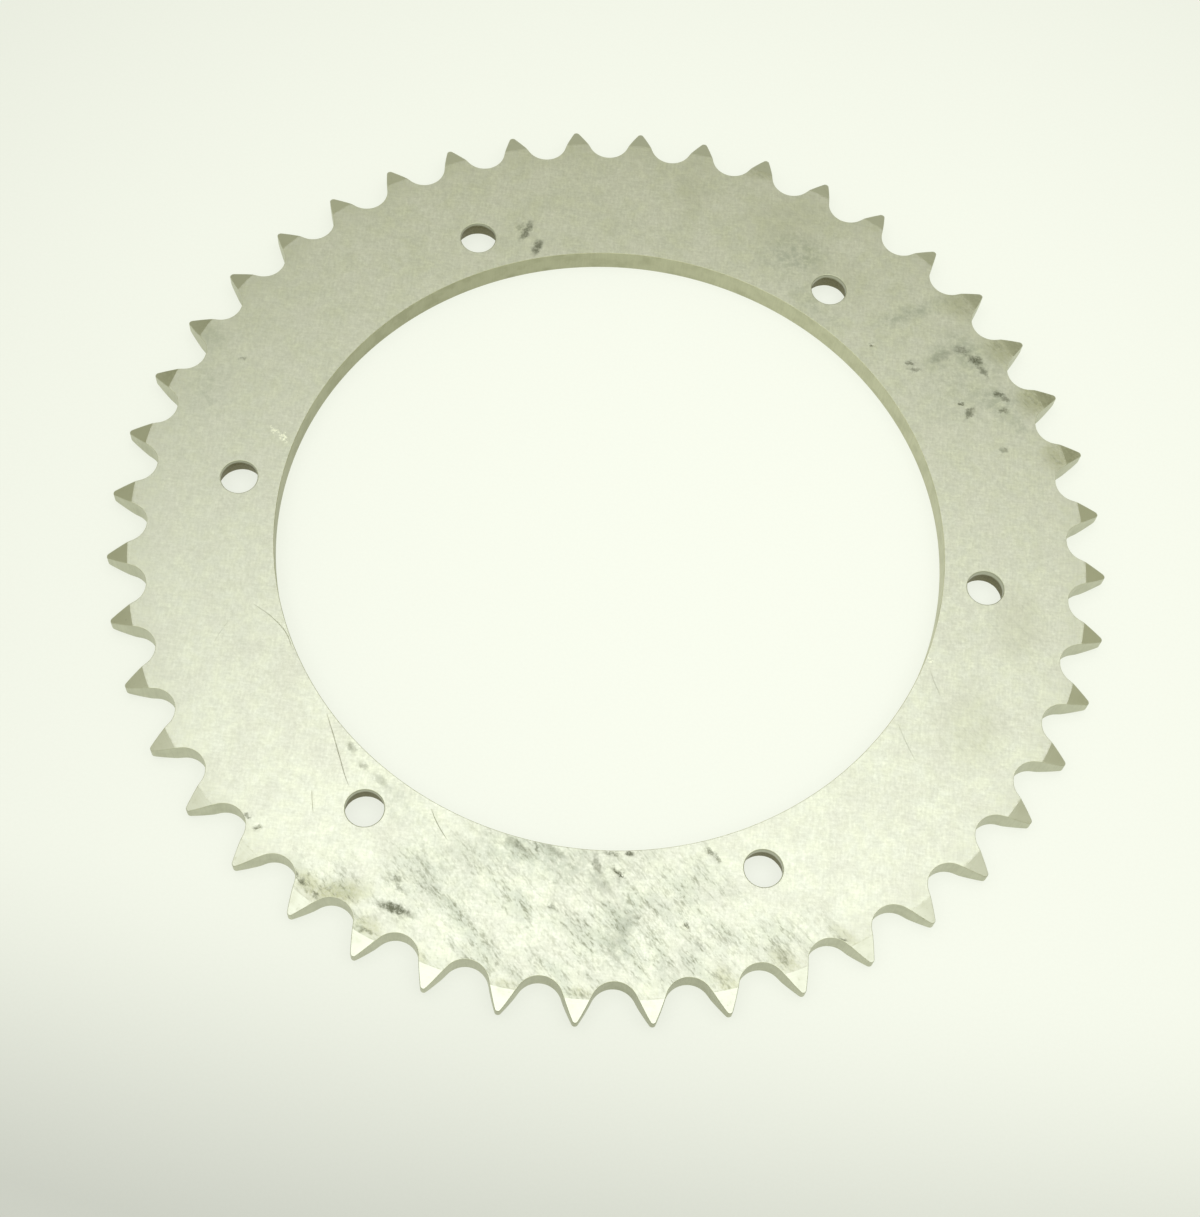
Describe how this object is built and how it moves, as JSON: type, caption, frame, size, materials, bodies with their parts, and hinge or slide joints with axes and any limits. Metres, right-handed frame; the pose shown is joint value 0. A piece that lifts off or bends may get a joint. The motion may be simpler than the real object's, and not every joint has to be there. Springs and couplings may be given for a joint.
{
  "type": "rear sprocket",
  "caption": "Flat toothed steel ring for a roller chain, with a large plain centre bore and a ring of plain bolt holes.",
  "frame": {"origin": "centre of the bore, on the flat face that rests on the wheel hub", "axes": "+Z along the bore axis towards the outer face, +X through the centre of one bolt hole and of one tooth space"},
  "size_m": [0.2294, 0.2294, 0.006],
  "materials": {
    "plate_steel": "bare cold-rolled steel, satin, with light roll marks, smudges and fine scratches"
  },
  "bodies": {
    "root": {"sprocket_plate": "plate_steel"}
  },
  "joints": []
}
